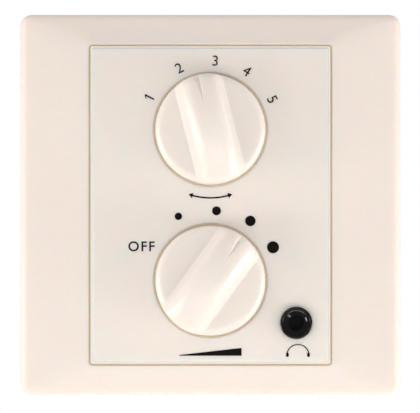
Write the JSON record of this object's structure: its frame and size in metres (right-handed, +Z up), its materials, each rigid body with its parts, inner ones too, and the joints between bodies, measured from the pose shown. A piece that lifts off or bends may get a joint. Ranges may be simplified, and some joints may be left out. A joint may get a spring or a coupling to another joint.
{
  "type": "wall volume control",
  "caption": "Square ivory wall plate with a sloping bezel, a flat panel carrying two grip-bar rotary knobs over stepped switches, a round headphone socket and a tapped line transformer behind.",
  "frame": {"origin": "middle of the two wall screw slots, on the wall surface", "axes": "+Y into the wall, so the front faces -Y; +Z up; +X to the right as seen from the front"},
  "size_m": [0.086, 0.053, 0.086],
  "materials": {
    "bezel_ivory": "satin moulded",
    "panel_ivory": "semi-gloss moulded",
    "carrier_grey": "satin moulded",
    "knob_ivory": "semi-gloss moulded",
    "zinc": "die-cast",
    "black_moulding": "matt moulded",
    "steel": "turned",
    "tan_moulding": "matt moulded",
    "contact_brass": "tinned",
    "ball_steel": "polished",
    "spring_steel": "drawn wire",
    "plated_steel": "zinc plated",
    "jack_black": "gloss moulded",
    "board_green": "solder mask",
    "lamination": "varnished laminations",
    "winding_tape": "polyester tape",
    "bracket_steel": "zinc plated",
    "lead_red": "insulated wire",
    "block_green": "satin moulded",
    "resistor_blue": "lacquered"
  },
  "bodies": {
    "base": {"bezel_frame": "bezel_ivory", "front_panel": "panel_ivory", "mounting_plate": "carrier_grey", "selector_cover": "zinc", "selector_case": "black_moulding", "selector_contacts": "contact_brass", "selector_washer": "plated_steel", "selector_nut": "plated_steel", "volume_cover": "zinc", "volume_case": "black_moulding", "volume_contacts": "contact_brass", "volume_washer": "plated_steel", "volume_nut": "plated_steel", "jack_body": "jack_black", "jack_collar": "jack_black", "jack_sleeve_contact": "contact_brass", "jack_ring_contact": "contact_brass", "jack_tip_contact": "contact_brass", "circuit_board": "board_green", "board_posts": "contact_brass", "board_screws": "plated_steel", "transformer_core": "lamination", "transformer_bobbin": "black_moulding", "transformer_winding": "winding_tape", "transformer_bracket": "bracket_steel", "transformer_leads": "lead_red", "terminal_block": "block_green", "terminal_clamps": "contact_brass", "terminal_screws": "plated_steel", "headphone_resistors": "resistor_blue"},
    "selector_dial": {"selector_knob": "knob_ivory", "selector_shaft": "steel", "selector_rotor": "tan_moulding", "selector_wiper": "contact_brass", "selector_detent_balls": "ball_steel", "selector_detent_springs": "spring_steel"},
    "volume_dial": {"volume_knob": "knob_ivory", "volume_shaft": "steel", "volume_rotor": "tan_moulding", "volume_wiper": "contact_brass", "volume_detent_balls": "ball_steel", "volume_detent_springs": "spring_steel"}
  },
  "joints": [
    {"name": "selector_turn", "type": "hinge", "parent": "base", "child": "selector_dial", "pos_m": [0, -0.0098, 0.017], "axis": [0, 1, 0], "range_deg": [-45.6, 74.4]},
    {"name": "volume_turn", "type": "hinge", "parent": "base", "child": "volume_dial", "pos_m": [0, -0.0098, -0.017], "axis": [0, 1, 0], "range_deg": [-96, 24]}
  ]
}
